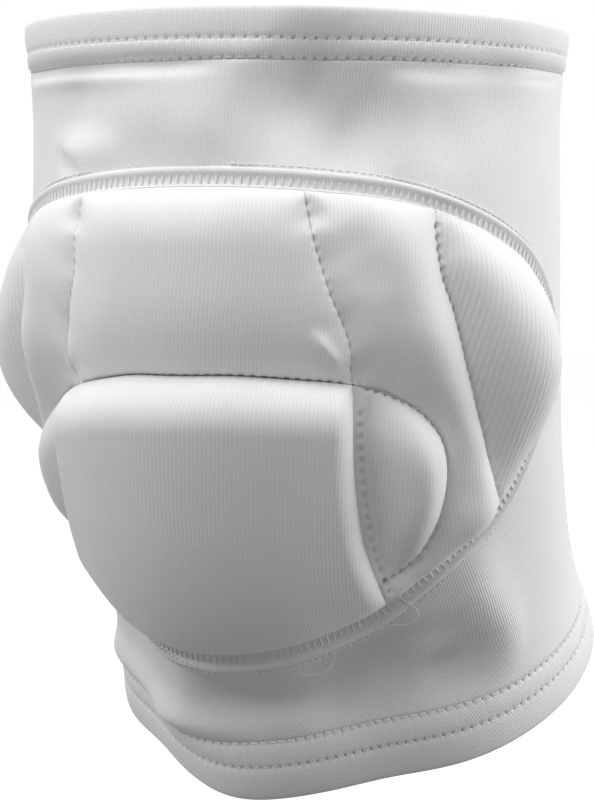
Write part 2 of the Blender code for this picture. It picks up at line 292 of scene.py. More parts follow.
@dataclass(frozen=True)
class Fold:
    """A soft ridge of the cloth between two spots, or a crease where its rise is negative."""

    start: Spot
    end: Spot
    rise: float
    width: float
    fade: float = 2.6

    def lift(self, leg: LegForm, places: Places) -> Places:
        """Tells how far the fold lifts the cloth at flat places."""
        line = leg.flat_spots((self.start, self.end))
        step = line[1] - line[0]
        share = np.clip(((places - line[0]) @ step) / (step @ step), 0.0, 1.0)
        distance = np.linalg.norm(places - line[0] - share[:, None] * step, axis=1)
        rise = self.rise * bell(distance, self.width)
        return rise * ease(share * self.fade) * ease((1 - share) * self.fade)


def folds(*rows: tuple[float, ...]) -> tuple[Fold, ...]:
    """Folds from rows of height and angle at the start, height and angle at the end, rise, width, fade."""
    return tuple(Fold(Spot(*row[:2]), Spot(*row[2:4]), *row[4:]) for row in rows)


# Folds and hollows of the sleeve: from, to, rise, width, how soon it fades in at its ends
SLEEVE_FOLDS = folds(
    (0.930, -66.0, 0.928, 10.0, -0.0030, 0.0018, 4.0),
    (0.918, -64.0, 0.915, 0.0, 0.0008, 0.0022, 4.0),
    (0.922, 36.0, 0.931, 108.0, -0.0024, 0.0022, 4.0),
    (0.945, -32.0, 0.810, -33.0, -0.0030, 0.0090),
    (0.820, -43.0, 0.788, -29.0, -0.0022, 0.0013),
    (0.836, -42.0, 0.814, -12.0, 0.0015, 0.0042),
    (0.952, 13.0, 0.780, 44.0, -0.0085, 0.0120),
    (0.950, 80.0, 0.790, 42.0, -0.0030, 0.0090),
    (0.885, -24.0, 0.830, 16.0, 0.0022, 0.0090),
    (0.096, -70.0, 0.084, -8.0, 0.0026, 0.0036, 4.0),
    (0.084, -30.0, 0.090, 30.0, 0.0026, 0.0032, 4.0),
    (0.114, -14.0, 0.130, 78.0, -0.0088, 0.0080, 4.0),
    (0.290, 62.0, 0.070, 76.0, 0.0030, 0.0090),
    (0.098, 24.0, 0.172, 70.0, 0.0020, 0.0032),
    (0.140, 14.0, 0.186, 58.0, -0.0022, 0.0030),
    (0.150, 40.0, 0.142, 66.0, 0.0014, 0.0022),
)

# Wrinkles of the panel's cover: from, to, rise, width
COVER_FOLDS = folds(
    (0.600, 25.6, 0.530, 34.6, 0.0014, 0.0015),
    (0.560, -28.0, 0.530, -28.8, 0.0009, 0.0016),
    (0.745, 30.0, 0.615, 38.0, -0.0012, 0.0055),
    (0.330, 60.0, 0.430, 64.5, -0.0008, 0.0030),
)


class SeamLine:
    """A smooth line over the sleeve through a few spots, moved sideways over the cloth by a distance."""

    def __init__(self, leg: LegForm, places: Iterable[Spot], shift: float = 0.0) -> None:
        """Lays the line.

        Args:
            leg: The form under it.
            places: The spots that it runs through.
            shift: How far it is moved to its right.
        """
        flat = leg.flat_spots(places)
        lengths = lengths_along(flat)
        line = smooth(lengths, flat, np.linspace(0.0, lengths[-1], LINE_STEPS))
        along = unit(np.gradient(line, axis=0))
        self.flat = line + shift * np.stack([along[:, 1], -along[:, 0]], axis=1)
        self.heights, self.angles = leg.spread(self.flat)

    def angle_at(self, heights: Places, below: float | None = None, above: float | None = None) -> Places:
        """Angles of the line at heights, and past an end the given value, or that of the end."""
        return np.interp(heights, self.heights, self.angles, left=below, right=above)

    def height_at(self, angles: Places) -> Places:
        """Heights of a line that runs across, at angles on either side of the front."""
        order = np.argsort(self.angles)
        return np.interp(np.abs(angles), self.angles[order], self.heights[order])


class PanelOutline:
    """The panel's closed outline, symmetric about the front line, moved inwards by a distance."""

    def __init__(self, leg: LegForm, places: tuple[Spot, ...], inset: float = 0.0) -> None:
        """Lays the outline.

        Args:
            leg: The form under it.
            places: The spots of its right half, from the middle of its foot.
            inset: How far it is moved inwards.
        """
        mirrored = [Spot(spot.height, -spot.angle) for spot in places]
        before = mirrored[2:0:-1]
        after = mirrored[-2:-4:-1]
        flat = leg.flat_spots((*before, *places, *after))
        lengths = lengths_along(flat)
        half = smooth(lengths, flat, np.linspace(lengths[len(before)], lengths[-1 - len(after)], LINE_STEPS))
        along = np.gradient(half, axis=0)
        along[[0, -1], 1] = 0.0
        along = unit(along)
        self.flat = half + inset * np.stack([-along[:, 1], along[:, 0]], axis=1)
        self.heights, self.angles = leg.spread(self.flat)
        self.widest = int(np.argmax(self.angles))

    @property
    def lower(self) -> Places:
        """The right half below its widest place, laid flat."""
        return self.flat[: self.widest + 1]

    @property
    def upper(self) -> Places:
        """The right half above its widest place, laid flat."""
        return self.flat[self.widest:]

    def round_trip(self, shares: Places) -> tuple[Places, Places]:
        """Heights and angles at shares of the way round, from the middle of the foot up the right side."""
        steps = np.arange(LINE_STEPS)
        place = 2 * np.minimum(shares, 1 - shares) * (LINE_STEPS - 1)
        side = np.where(shares <= 0.5, 1.0, -1.0)
        return np.interp(place, steps, self.heights), side * np.interp(place, steps, self.angles)

    def angle_at(self, heights: Places) -> Places:
        """Angles of the right side at heights."""
        return np.interp(heights, self.heights, self.angles)

    def lower_angle_at(self, heights: Places) -> Places:
        """Angles of the right side at heights, held from its widest place upwards."""
        return self.angle_at(np.minimum(heights, self.heights[self.widest]))

    def foot_at(self, angles: Places) -> Places:
        """Heights of the lower edge at angles."""
        lower = slice(0, self.widest + 1)
        return np.interp(np.abs(angles), self.angles[lower], self.heights[lower])

    def top_at(self, angles: Places) -> Places:
        """Heights of the upper edge at angles."""
        upper = slice(self.widest, None)
        return np.interp(np.abs(angles), self.angles[upper][::-1], self.heights[upper][::-1])


class Wire:
    """A number on a node's socket, whose Python operators add Math nodes."""

    def __init__(self, sheet: "NodeSheet", socket: Socket) -> None:
        """Keeps the socket and the node sheet that it is on."""
        self.sheet = sheet
        self.socket = socket

    def __add__(self, other: "Wire | float") -> "Wire":
        """Adds."""
        return self.sheet.math("ADD", self, other)

    def __sub__(self, other: "Wire | float") -> "Wire":
        """Takes away."""
        return self.sheet.math("SUBTRACT", self, other)

    def __rsub__(self, other: float) -> "Wire":
        """Takes this away from a number."""
        return self.sheet.math("SUBTRACT", other, self)

    def __mul__(self, other: "Wire | float") -> "Wire":
        """Multiplies."""
        return self.sheet.math("MULTIPLY", self, other)

    def __truediv__(self, other: "Wire | float") -> "Wire":
        """Divides."""
        return self.sheet.math("DIVIDE", self, other)

    __radd__ = __add__
    __rmul__ = __mul__


class NodeSheet:
    """A node tree that is written from code."""

    def __init__(self, tree: bpy.types.NodeTree) -> None:
        """Clears the tree."""
        self.tree = tree
        tree.nodes.clear()

    def node(self, kind: str, settings: dict | None = None, sockets: dict | None = None) -> bpy.types.Node:
        """Adds a node.

        Args:
            kind: The node's type.
            settings: Its settings, which are set first.
            sockets: Values, wires or sockets for its inputs, by name or number.

        Returns:
            The node.
        """
        made = self.tree.nodes.new(kind)
        for name, value in (settings or {}).items():
            setattr(made, name, value)
        for name, value in (sockets or {}).items():
            source = value.socket if isinstance(value, Wire) else value
            if isinstance(source, Socket):
                self.tree.links.new(source, made.inputs[name])
            else:
                made.inputs[name].default_value = source
        return made

    def math(self, operation: str, *values: Wire | float) -> Wire:
        """Adds a Math node and gives its result."""
        made = self.node("ShaderNodeMath", {"operation": operation}, dict(enumerate(values)))
        return Wire(self, made.outputs[0])

    def noise(self, place: Socket, scale: float, detail: float = 2.0) -> Wire:
        """Adds a noise of about 0 to 1, with so many features to the metre."""
        made = self.node("ShaderNodeTexNoise", {}, {"Vector": place, "Scale": scale, "Detail": detail})
        return Wire(self, made.outputs["Fac"])

    def tint(self, share: Wire, low: tuple, high: tuple) -> Socket:
        """Adds a mix from one colour to another."""
        made = self.node("ShaderNodeMix", {"data_type": "RGBA"}, {0: share, 6: (*low, 1.0), 7: (*high, 1.0)})
        return made.outputs[2]

    def place(self) -> Socket:
        """Adds the place of each point in its object."""
        return self.node("ShaderNodeTexCoord").outputs["Object"]

    def bump(self, height: Wire, relief: float) -> Socket:
        """Adds a bump of so many metres at a height of 1."""
        made = self.node("ShaderNodeBump", {}, {"Strength": 1.0, "Distance": relief, "Height": height})
        return made.outputs[0]

    def surface(self, sockets: dict) -> None:
        """Adds a principled shader with these inputs, as the material's surface."""
        shader = self.node("ShaderNodeBsdfPrincipled", {}, sockets)
        self.node("ShaderNodeOutputMaterial", {}, {"Surface": shader.outputs[0]})


def new_material(name: str) -> tuple[Material, NodeSheet]:
    """Makes a material and the empty node sheet that it is written on."""
    material = bpy.data.materials.new(name)
    material.use_nodes = True
    return material, NodeSheet(material.node_tree)


@dataclass(frozen=True)
class KnitFinish:
    """Fine white knit: columns of small loops, with a soft nap, and a base colour darkened in the grooves
    between the loops as painted shade.
    """

    name: str
    colour: Triple = (0.83, 0.83, 0.84)
    # Base colour in the grooves between the loops: painted shade, darker than the knit's own white
    groove_shade_colour: Triple = (0.73, 0.73, 0.74)
    column: float = 0.00078
    row: float = 0.00060
    relief: float = 0.000045
    slant: float = 0.0
    slant_below: float = 0.080
    roughness: float = 0.85
    sheen: float = 0.12
    sheen_roughness: float = 0.45
    specular: float = 0.25
    drift: float = 0.9
    drift_scale: float = 55.0
    specks: float = 0.9
    speck_scale: float = 2600.0
    cloud_scale: float = 38.0
    cloud_detail: float = 3.0
    cloud_share: float = 0.5
    # Weight of the painted groove shade in the base colour mix
    groove_shade_share: float = 0.75
    loop_share: float = 0.38
    gloss: float = 0.08

    def material(self) -> Material:
        """Makes the material, whose loops follow the cloth's own flat map."""
        material, sheet = new_material(self.name)
        flat = sheet.node("ShaderNodeUVMap", {"uv_map": CLOTH_MAP}).outputs["UV"]
        place = sheet.place()
        parts = sheet.node("ShaderNodeSeparateXYZ", {}, {0: flat}).outputs
        across, along = Wire(sheet, parts[0]), Wire(sheet, parts[1])
        wander = sheet.noise(place, self.drift_scale) - 0.5
        below = sheet.math("MINIMUM", along - self.slant_below, 0.0)
        lean_over = below * below * (-self.slant / (2 * self.slant_below))
        column = (across + lean_over + wander * (self.drift * self.column)) / self.column
        rib = 0.5 - sheet.math("COSINE", column * math.tau) * 0.5
        lean = sheet.math("PINGPONG", column, 0.5)
        loop = 0.5 + sheet.math("COSINE", (along / self.row + lean) * math.tau) * 0.5
        grain = sheet.noise(place, self.speck_scale, 1.0)
        height = rib * ((1 - self.loop_share) + loop * self.loop_share) + (grain - 0.5) * self.specks
        cloud = sheet.noise(place, self.cloud_scale, self.cloud_detail)
        # Colour mix: painted shade, darker where the knit's relief is low, with a random cloudy tone added on
        # top
        share = sheet.math("MINIMUM", height * self.groove_shade_share + cloud * self.cloud_share, 1.0)
        sheet.surface({
            "Base Color": sheet.tint(share, self.groove_shade_colour, self.colour),
            "Roughness": self.roughness - height * self.gloss,
            "Normal": sheet.bump(height, self.relief),
            "Sheen Weight": self.sheen,
            "Sheen Roughness": self.sheen_roughness,
            "Specular IOR Level": self.specular,
        })
        return material


@dataclass(frozen=True)
class ThreadFinish:
    """White sewing thread of several strands."""

    name: str
    colour: Triple = (0.84, 0.84, 0.85)
    shade: Triple = (0.62, 0.62, 0.63)
    strands: float = 3200.0
    relief: float = 0.00006
    roughness: float = 0.6
    strand_roughness: float = 0.15
    sheen: float = 0.2

    def material(self) -> Material:
        """Makes the material, whose strands are a fine grain over the thread."""
        material, sheet = new_material(self.name)
        strand = sheet.noise(sheet.place(), self.strands, 1.0)
        sheet.surface({
            "Base Color": sheet.tint(strand, self.shade, self.colour),
            "Roughness": self.roughness + strand * self.strand_roughness,
            "Normal": sheet.bump(strand, self.relief),
            "Sheen Weight": self.sheen,
        })
        return material


@dataclass
class Maker:
    """What every sub-assembly shares: the leg's form, and the making and dressing of meshes."""

    leg: LegForm

    def start(self) -> None:
        """Leaves nothing selected, so that an operator acts on the new piece alone."""
        if bpy.context.object and bpy.context.object.mode != "OBJECT":
            bpy.ops.object.mode_set(mode="OBJECT")
        bpy.ops.object.select_all(action="DESELECT")

    def shape(self, piece: Piece, points: Places, flat: Places | None = None) -> None:
        """Moves a piece's vertices and gives it its cloth map.

        Args:
            piece: The piece.
            points: One point for each vertex.
            flat: The flat place of each vertex, or none for a piece without a cloth map.
        """
        mesh = piece.data
        mesh.vertices.foreach_set("co", np.asarray(points, dtype=np.float32).ravel())
        if flat is not None:
            corners = np.zeros(len(mesh.loops), dtype=np.int32)
            mesh.loops.foreach_get("vertex_index", corners)
            spread = flat[corners].reshape(-1, 4, 2)
            turn = math.tau * self.leg.radius
            far = spread[:, :, 0].max(axis=1) - spread[:, :, 0].min(axis=1) > turn / 2
            spread[:, :, 0] += np.where(far[:, None] & (spread[:, :, 0] < 0), turn, 0.0)
            for layer in list(mesh.uv_layers):
                mesh.uv_layers.remove(layer)
            layer = mesh.uv_layers.new(name=CLOTH_MAP)
            layer.data.foreach_set("uv", spread.astype(np.float32).ravel())
        mesh.update()

    def finish(self, piece: Piece, name: str, material: Material, slot: Slot) -> Piece:
        """Names a piece, dresses it and puts it on its body.

        Args:
            piece: The piece.
            name: Its name.
            material: Its material.
            slot: The record's slot for its finish; it is not used.

        Returns:
            The piece.
        """
        piece.name = name
        piece.data.name = name
        piece.data.materials.clear()
        piece.data.materials.append(material)
        piece.data.shade_smooth()
        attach(piece, BODY)
        LOG.info("%s: %d faces", name, len(piece.data.polygons))
        return piece

    def turn_round(self, piece: Piece) -> None:
        """Turns the faces of a mirrored piece outwards."""
        self.start()
        piece.select_set(True)
        bpy.context.view_layer.objects.active = piece
        bpy.ops.object.mode_set(mode="EDIT")
        bpy.ops.mesh.select_all(action="SELECT")
        bpy.ops.mesh.flip_normals()
        bpy.ops.object.mode_set(mode="OBJECT")

    def closed_patch(self, columns: int, rows: int) -> tuple[Piece, Places, Places, Places]:
        """Adds a patch with a back and walls.

        Args:
            columns: Faces across.
            rows: Faces up.

        Returns:
            The patch, the shares across and up of its vertices, and which of them are on its face.
        """
        self.start()
        bpy.ops.mesh.primitive_grid_add(x_subdivisions=columns, y_subdivisions=rows, size=1.0)
        bpy.ops.object.mode_set(mode="EDIT")
        bpy.ops.mesh.select_all(action="SELECT")
        bpy.ops.mesh.extrude_region_move(TRANSFORM_OT_translate={"value": (0.0, 0.0, 1.0)})
        bpy.ops.object.mode_set(mode="OBJECT")
        patch = bpy.context.object
        places = self.places_of(patch)
        return patch, places[:, 0] + 0.5, places[:, 1] + 0.5, places[:, 2] > 0.5

    def closed_ring(self, segments: int, stations: int) -> tuple[Piece, Places, Places]:
        """Adds a closed ring, whose section runs from outside over the top to inside and back below.

        Args:
            segments: Faces round the leg.
            stations: Points round its section.

        Returns:
            The ring, the share round of each vertex from +X, and the number of its station.
        """
        self.start()
        parts = next(
            parts for parts in range(1, segments) if segments % parts == 0 and segments <= parts * RING_LIMIT
        )
        bpy.ops.mesh.primitive_torus_add(
            major_segments=segments // parts, minor_segments=stations, major_radius=1.0, minor_radius=0.25,
        )
        ring = bpy.context.object
        if parts > 1:
            _, station = self.ring_places(ring, segments, stations)
            bpy.ops.object.mode_set(mode="EDIT")
            bpy.ops.mesh.select_mode(type="EDGE")
            bpy.ops.mesh.select_all(action="DESELECT")
            bpy.ops.object.mode_set(mode="OBJECT")
            ends = np.array([tuple(edge.vertices) for edge in ring.data.edges])
            ring.data.edges.foreach_set("select", station[ends[:, 0]] == station[ends[:, 1]])
            bpy.ops.object.mode_set(mode="EDIT")
            bpy.ops.mesh.subdivide(number_cuts=parts - 1)
            bpy.ops.object.mode_set(mode="OBJECT")
        around, station = self.ring_places(ring, segments, stations)
        return ring, around, station

    def ring_places(self, ring: Piece, segments: int, stations: int) -> tuple[Places, Places]:
        """Finds the share round and the station of each vertex of a closed ring."""
        places = self.places_of(ring)
        around = np.arctan2(places[:, 1], places[:, 0]) / math.tau
        section = np.arctan2(places[:, 2], np.hypot(places[:, 0], places[:, 1]) - 1.0) / math.tau
        station = np.rint(section % 1.0 * stations).astype(int) % stations
        return np.rint(around % 1.0 * segments) % segments / segments, station

    @staticmethod
    def places_of(piece: Piece) -> Places:
        """Reads the vertices of a piece."""
        places = np.zeros(len(piece.data.vertices) * 3, dtype=np.float32)
        piece.data.vertices.foreach_get("co", places)
        return places.reshape(-1, 3).astype(float)

    def lit_sides(self, heights: Places, angles: Places, outward: Places) -> tuple[Places, Places, Places]:
        """Finds the directions of the surface.

        Args:
            heights: Height shares.
            angles: Angles in degrees.
            outward: How far out the places are.

        Returns:
            Unit directions round the leg, up and outwards at each place.
        """
        points = self.leg.points
        turn, rise = math.degrees(SLOPE_STEP / self.leg.radius), SLOPE_STEP / self.leg.height
        around = unit(points(heights, angles + turn, outward) - points(heights, angles - turn, outward))
        up = points(heights + rise, angles, outward) - points(heights - rise, angles, outward)
        out = unit(np.cross(around, up))
        return around, np.cross(out, around), out

    def stitches(
        self, heights: Places, angles: Places, outward: Places, leans: Places, size: Triple,
    ) -> Piece:
        """Adds a row of stitches, each a small rounded bar.

        Args:
            heights: Height shares of their middles.
            angles: Angles of their middles.
            outward: How far out their middles are.
            leans: Direction of each stitch, as an angle from round the leg towards up, in radians.
            size: Length, width and height of a stitch.

        Returns:
            One object that holds them all.
        """
        self.start()
        bpy.ops.mesh.primitive_uv_sphere_add(
            segments=8, ring_count=5, radius=0.5, rotation=(0.0, math.pi / 2, 0.0),
        )
        bpy.ops.object.transform_apply(rotation=True)
        stitch = bpy.context.object
        bar = self.places_of(stitch) * size
        faces = [tuple(face.vertices) for face in stitch.data.polygons]
        around, up, out = self.lit_sides(heights, angles, outward)
        along = around * np.cos(leans)[:, None] + up * np.sin(leans)[:, None]
        beside = np.cross(out, along)
        middles = self.leg.points(heights, angles, outward)
        frames = np.stack([along, beside, out], axis=1)
        points = (bar @ frames) + middles[:, None, :]
        count = len(bar)
        firsts = range(0, len(middles) * count, count)
        rows = [tuple(first + corner for corner in face) for first in firsts for face in faces]
        mesh = bpy.data.meshes.new("stitches")
        mesh.from_pydata(points.reshape(-1, 3).tolist(), [], rows)
        made = bpy.data.objects.new("stitches", mesh)
        bpy.context.collection.objects.link(made)
        bpy.data.objects.remove(stitch)
        return made

    def joined(self, pieces: list[Piece]) -> Piece:
        """Joins several objects into one."""
        self.start()
        for piece in pieces:
            piece.select_set(True)
        bpy.context.view_layer.objects.active = pieces[0]
        if len(pieces) > 1:
            bpy.ops.object.join()
        return pieces[0]

    def row_along(self, line: Places, pitch: float, start: float = 0.5) -> tuple[Places, Places, Places]:
        """Spaces stitches along a flat line.

        Args:
            line: The line's points, laid flat.
            pitch: From one stitch to the next.
            start: Where the first stands, in pitches.

        Returns:
            The heights, angles and leans of the stitches.
        """
        steps = np.diff(line, axis=0)
        lengths = lengths_along(line)
        count = int(lengths[-1] / pitch)
        stands = (np.arange(count) + start) * lengths[-1] / count
        places = np.stack([np.interp(stands, lengths, line[:, axis]) for axis in range(2)], axis=1)
        steps = np.concatenate([steps, steps[-1:]])
        number = np.clip(np.searchsorted(lengths, stands) - 1, 0, len(steps) - 1)
        leans = np.arctan2(steps[number, 1], steps[number, 0])
        heights, angles = self.leg.spread(places)
        return heights, angles, leans


@dataclass
class Sleeve(Maker):
    """The knit sleeve round the leg, between its hems."""

    wall: float = 0.0013
    top_row: float = 0.0108
    bottom_row: float = 0.0108
    tuck: float = 0.0002
    tuck_depth: float = 0.00080
    tuck_length: float = 0.0006
    groove: float = 0.00030
    groove_spread: float = 0.0008
    segments: int = 360
    rows: int = 66
    end_stations: tuple[float, ...] = (
        0.0, 0.0003, 0.0006, 0.0009, 0.0013, 0.0018, 0.0023, 0.0028, 0.0033, 0.0038, 0.0044, 0.0051, 0.0060,
        0.0072, 0.0086, 0.0102,
    )
    flat_size: tuple[float, float] = (0.335, 0.141)
    folds: tuple[Fold, ...] = ()

    def lift(self, flat: Places) -> Places:
        """How far the folds lift the cloth at flat places."""
        return sum((fold.lift(self.leg, flat) for fold in self.folds), np.zeros(len(flat)))

    def build(self, finish: KnitFinish) -> Piece:
        """Builds the sleeve, whose ends are tucked under the hems at their inner rows of stitches.

        Args:
            finish: Its knit.

        Returns:
            The sleeve.
        """
        low = self.bottom_row - self.tuck
        high = self.leg.height - self.top_row + self.tuck
        ends = np.array(self.end_stations)
        inner = np.linspace(low + ends[-1], high - ends[-1], self.rows)[1:-1]
        stands = np.concatenate([low + ends, inner, high - ends[::-1]])
        count = len(stands)
        ring, around, station = self.closed_ring(self.segments, 2 * count)
        outer = station < count
        stand = stands[np.where(outer, station, 2 * count - 1 - station)]
        angles = from_front(around)
        flat = self.leg.flat(stand / self.leg.height, angles)
        from_end = np.minimum(stand - low, high - stand)
        dip = self.tuck_depth * (1 - ease((from_end - self.tuck) / self.tuck_length))
        dip += self.groove * bell(from_end - self.tuck, self.groove_spread)
        outward = self.lift(flat) - dip - np.where(outer, 0.0, self.wall)
        self.shape(ring, self.leg.points(stand / self.leg.height, angles, outward), flat)
        sleeve = self.finish(ring, "sleeve_cloth", finish.material(), Slot.SLEEVE)
        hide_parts("sleeve")
        return sleeve


@dataclass
class Hem(Maker):
    """A folded hem: the cloth's edge turned in and sewn down with two rows of stitches."""

    name: str = "top_hem"
    top: bool = True
    rows_at: tuple[float, float] = (0.0068, 0.0108)
    by_row: float = 0.0004
    off_row: float = 0.0009
    past_row: float = 0.0004
    rim_end: float = 0.0014
    rim_stations: int = 6
    turn_stations: int = 8
    inner_stations: int = 5
    inner_height: float = 0.0098
    ply: float = 0.0013
    proud: float = 0.0004
    between_plies: float = 0.00015
    rim_reach: float = 0.0003
    edge_thickness: float = 0.0003
    edge_length: float = 0.0016
    groove: float = 0.00030
    groove_spread: float = 0.00065
    puff: float = 0.00022
    puff_spread: float = 0.0014
    rim_puff_spread: float = 0.0024
    hole_depth: float = 0.0011
    hole_slope: float = 0.12
    stitch: Triple = (0.0018, 0.00042, 0.00034)
    stitch_sink: float = 0.05
    stitch_count: int = 156
    segments_a_stitch: int = 6
    flat_size: tuple[float, float] = (0.335, 0.0225)
    lift: Field | None = None

    def section(self) -> tuple[Places, Places, Places, Places, Places]:
        """Lays out the folded cloth's section.

        Returns:
            For each station of the cloth's middle: the distance from the rim, the distance out from the
            sleeve's face, the two parts of its normal, away from the rim and outwards, and whether it is in
            the outer ply.
        """
        radius = (self.ply + self.between_plies) / 2
        middle = self.proud - self.ply / 2
        fold = self.ply / 2 + radius - self.rim_reach
        steps = (-self.off_row, -self.by_row, 0.0, self.by_row, self.off_row)
        near_rows = [row + step for row in self.rows_at for step in steps]
        near_rim = np.linspace(fold, self.rows_at[0] - self.rim_end, self.rim_stations)
        edge = self.rows_at[1] + self.past_row
        up = np.array(sorted({*near_rows, *near_rim, edge}, reverse=True))
        up = up[up <= edge]
        turn = np.linspace(0.0, math.pi, self.turn_stations)[1:-1]
        down = np.linspace(fold, self.inner_height, self.inner_stations)
        from_rim = np.concatenate([up, fold - radius * np.sin(turn), down])
        out = np.concatenate([
            np.full(len(up), middle),
            middle - radius + radius * np.cos(turn),
            np.full(len(down), middle - 2 * radius),
        ])
        normal_rim = np.concatenate([np.zeros(len(up)), -np.sin(turn), np.zeros(len(down))])
        normal_out = np.concatenate([np.ones(len(up)), np.cos(turn), -np.ones(len(down))])
        return from_rim, out, normal_rim, normal_out, np.arange(len(from_rim)) < len(up)

    def height_at(self, from_rim: Places | float) -> Places | float:
        """Height share at a distance from the hem's rim."""
        share = from_rim / self.leg.height
        return 1 - share if self.top else share

    def lifted(self, outward: Places, flat: Places) -> Places:
        """Adds the sleeve's own folds to how far out flat places are."""
        return outward if self.lift is None else outward + self.lift(flat)

    def build(self, finish: KnitFinish, thread: ThreadFinish) -> list[Piece]:
        """Builds the hem and its stitches.

        Args:
            finish: Its knit.
            thread: Its thread.

        Returns:
            The hem and its stitches.
        """
        from_rim, out, normal_rim, normal_out, outer_ply = self.section()
        count = len(from_rim)
        segments = self.stitch_count * self.segments_a_stitch
        ring, around, station = self.closed_ring(segments, 2 * count)
        face = station < count
        number = np.where(face, station, 2 * count - 1 - station)
        edge = self.rows_at[1] + self.past_row
        settle = ease((edge - from_rim) / self.edge_length)
        thinned = self.edge_thickness + (self.ply - self.edge_thickness) * settle
        thickness = np.where(outer_ply, thinned, self.ply)
        sunk = sum(bell(from_rim - row, self.groove_spread) for row in self.rows_at) * self.groove
        puff = bell(from_rim - sum(self.rows_at) / 2, self.puff_spread)
        puff += bell(from_rim - self.rows_at[0] / 2, self.rim_puff_spread)
        shift = (self.ply - thickness) / 2 - self.proud * (1 - settle) + self.puff * puff - sunk
        centre = out + np.where(outer_ply, shift, 0.0)
        side = np.where(face, 0.5, -0.5) * thickness[number]
        rim_distance = from_rim[number] + side * normal_rim[number]
        outward = centre[number] + side * normal_out[number]
        at_hole = np.rint(around * segments).astype(int) % self.segments_a_stitch == 0
        from_rows = np.abs(from_rim[number][:, None] - np.array(self.rows_at))
        in_row = from_rows.min(axis=1) < SAME_PLACE
        by_row = np.abs(from_rows - self.by_row).min(axis=1) < SAME_PLACE
        depth = self.hole_depth * np.where(in_row, 1.0, np.where(by_row, self.hole_slope, 0.0))
        outward = outward - np.where(face & at_hole & outer_ply[number], depth, 0.0)
        heights = self.height_at(rim_distance)
        angles = from_front(around)
        flat = self.leg.flat(heights, angles)
        self.shape(ring, self.leg.points(heights, angles, self.lifted(outward, flat)), flat)
        if not self.top:
            self.turn_round(ring)
        hem = self.finish(ring, f"{self.name}_cloth", finish.material(), Slot.HEM)
        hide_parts(self.name)
        return [hem, self.sew(thread)]

    def sew(self, thread: ThreadFinish) -> Piece:
        """Builds the hem's two rows of stitches, from hole to hole."""
        angles = from_front((np.arange(self.stitch_count) + 0.5) / self.stitch_count)
        rows = []
        for row in self.rows_at:
            heights = np.full(self.stitch_count, self.height_at(row))
            outward = np.full(self.stitch_count, self.proud - self.groove - self.stitch[2] * self.stitch_sink)
            if row == self.rows_at[1]:
                outward -= self.proud * (1 - ease(self.past_row / self.edge_length))
            outward = self.lifted(outward, self.leg.flat(heights, angles))
            rows.append(self.stitches(heights, angles, outward, np.zeros(self.stitch_count), self.stitch))
        return self.finish(self.joined(rows), f"{self.name}_stitches", thread.material(), Slot.THREAD)


@dataclass(frozen=True)
class Border:
    """A side of a pad: its line laid flat, the length and rise with which it stands up, and a flat foot."""

    line: Places
    length: float
    rise: float = 0.5
    foot: float = 0.0


@dataclass(frozen=True)
class Cell:
    """What a pad fills of the panel: its left and right lines by height, its foot and top by angle."""

    left: Field
    right: Field
    foot: Field
    top: Field


@dataclass(frozen=True)
class PadForm:
    """A pad's name, thickness, share of it kept at the foot, fullness, and faces across and up."""

    name: str
    thickness: float
    foot_share: float
    fill: float
    columns: int
    rows: int


UPPER_PAD = PadForm("pad_upper_center", 0.0095, 1.0, 0.6, 190, 90)
KNEE_PAD = PadForm("pad_knee_center", 0.0170, 0.72, 0.8, 200, 110)
STRIP_PAD = PadForm("pad_strip", 0.0115, 1.0, 0.7, 64, 170)
SIDE_PAD = PadForm("pad_side", 0.0145, 1.0, 0.7, 72, 120)
LOBE_PAD = PadForm("pad_knee", 0.0128, 1.0, 0.7, 70, 180)


